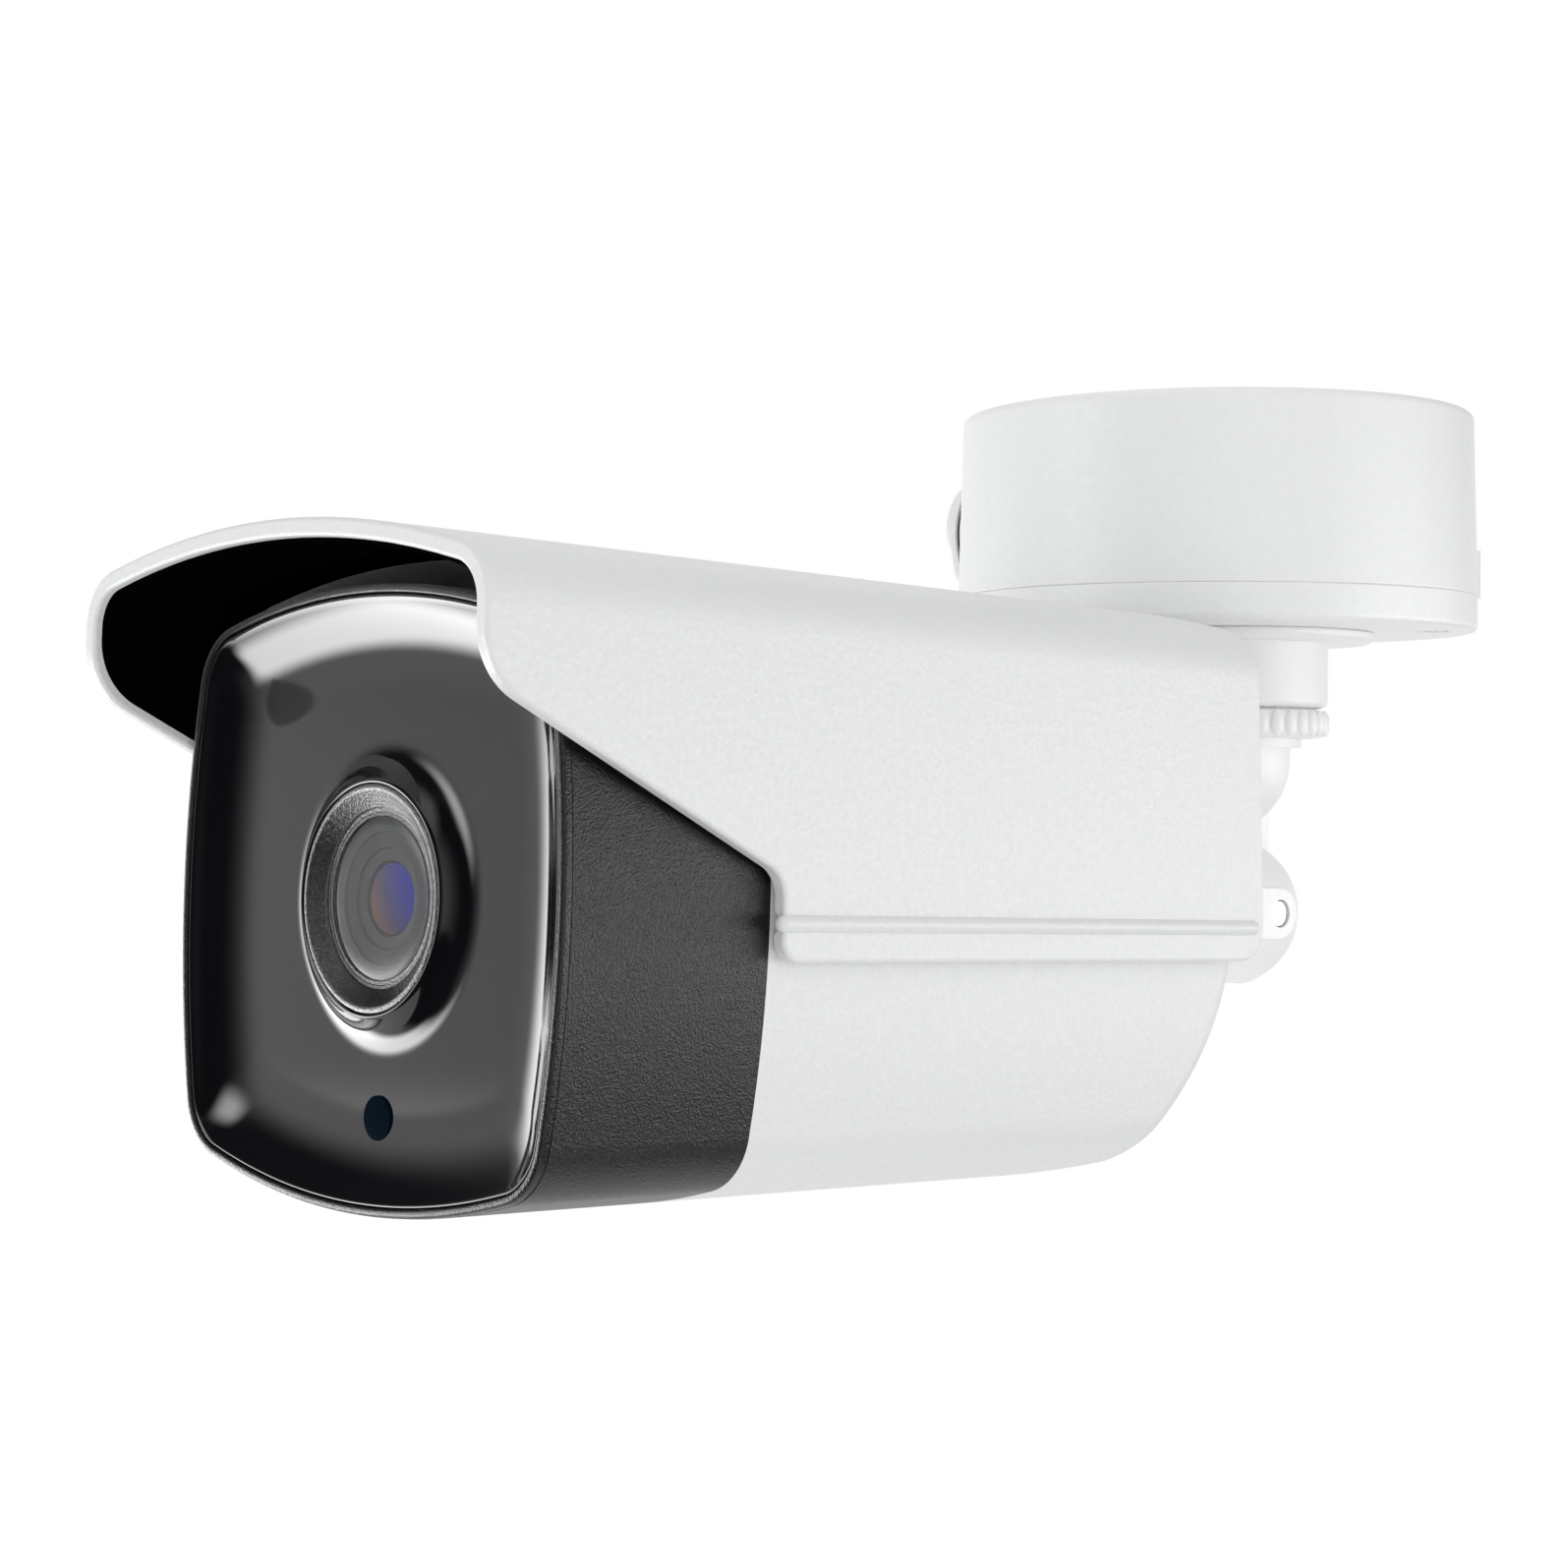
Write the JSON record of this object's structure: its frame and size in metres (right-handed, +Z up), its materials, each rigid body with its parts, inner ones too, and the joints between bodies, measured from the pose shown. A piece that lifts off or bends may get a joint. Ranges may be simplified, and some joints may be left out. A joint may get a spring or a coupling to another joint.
{
  "type": "bullet security camera",
  "caption": "Bullet security camera with a sliding sun shield, a dark front window round the lens, and a pan, tilt and roll bracket on a round ceiling junction box.",
  "frame": {"origin": "centre of the junction box's ceiling face, where the ceiling screws' circle is", "axes": "+Z up into the ceiling, -Y the way the lens looks, +X the camera's left-hand side seen from behind"},
  "size_m": [0.1075, 0.2677, 0.1397],
  "materials": {
    "shell_white": "die-cast, white powder coat with a fine grain",
    "box_white": "die-cast, smooth satin white paint",
    "bracket_white": "die-cast, satin white powder coat",
    "seal_rubber": "matt black",
    "screw_steel": "plain steel",
    "front_black": "black with a fine matt grain",
    "bezel_black": "gloss black",
    "window_smoke": "dark smoked, gloss",
    "lens_black": "black, finely ribbed",
    "lens_glass": "coated optical glass",
    "carrier_metal": "plain sheet",
    "board_green": "solder mask",
    "led_clear": "clear resin",
    "sensor_navy": "dark tinted light guide",
    "filter_glass": "cyan filter glass",
    "chip_black": "chip package",
    "visor_black": "black, slight gloss"
  },
  "bodies": {
    "junction_box": {"box_body": "box_white", "box_cover": "box_white", "cover_gasket": "seal_rubber", "cover_screws": "screw_steel", "conduit_plug": "box_white", "plug_seal": "seal_rubber", "bracket_base": "bracket_white", "base_screws": "screw_steel"},
    "pan_ring": {"pan_lock_ring": "bracket_white"},
    "arm": {"swivel_arm": "bracket_white"},
    "fork": {"tilt_fork": "bracket_white", "tilt_bolt": "screw_steel", "tilt_nut": "screw_steel"},
    "roll_ring": {"roll_lock_ring": "bracket_white"},
    "ir_cut": {"ir_cut_filter": "filter_glass"},
    "shield": {"sunshield": "shell_white", "visor_lining": "visor_black"},
    "camera": {"main_housing": "shell_white", "cable_grommet": "seal_rubber", "front_housing": "front_black", "housing_seal": "seal_rubber", "bezel_ring": "bezel_black", "window_seal": "seal_rubber", "front_window": "window_smoke", "lens_shroud": "lens_black", "lens_barrel": "lens_black", "lens_front_glass": "lens_glass", "lens_rear_glass": "lens_glass", "lens_holder": "lens_black", "board_carrier": "carrier_metal", "carrier_screws": "screw_steel", "led_board": "board_green", "ir_leds": "led_clear", "led_posts": "carrier_metal", "light_pipe": "sensor_navy", "ir_cut_frame": "lens_black", "sensor_chip": "chip_black", "sensor_board": "board_green", "board_standoffs": "carrier_metal", "main_board": "board_green", "heat_sink": "carrier_metal", "shield_screw": "screw_steel"}
  },
  "joints": [
    {"name": "pan_ring_turn", "type": "hinge", "parent": "junction_box", "child": "pan_ring", "pos_m": [0, 0, -0.0564], "axis": [0, 0, 1], "range_deg": [0, 90]},
    {"name": "pan", "type": "hinge", "parent": "junction_box", "child": "arm", "pos_m": [0, 0, -0.0564], "axis": [0, 0, 1], "range_deg": [-180, 180]},
    {"name": "tilt", "type": "hinge", "parent": "arm", "child": "fork", "pos_m": [0, 0.0028, -0.096], "axis": [1, 0, 0], "range_deg": [0, 92]},
    {"name": "roll", "type": "hinge", "parent": "fork", "child": "camera", "pos_m": [0, 0.0028, -0.096], "axis": [0, -0.9994, 0.0349], "range_deg": [-180, 180]},
    {"name": "roll_ring_turn", "type": "hinge", "parent": "camera", "child": "roll_ring", "pos_m": [0, 0.0028, -0.096], "axis": [0, -0.9994, 0.0349], "range_deg": [0, 90]},
    {"name": "shield_slide", "type": "slide", "parent": "camera", "child": "shield", "axis": [0, -0.9994, 0.0349], "range_m": [0, 0.015]},
    {"name": "filter_slide", "type": "slide", "parent": "camera", "child": "ir_cut", "axis": [1, 0, 0], "range_m": [0, 0.008]}
  ]
}
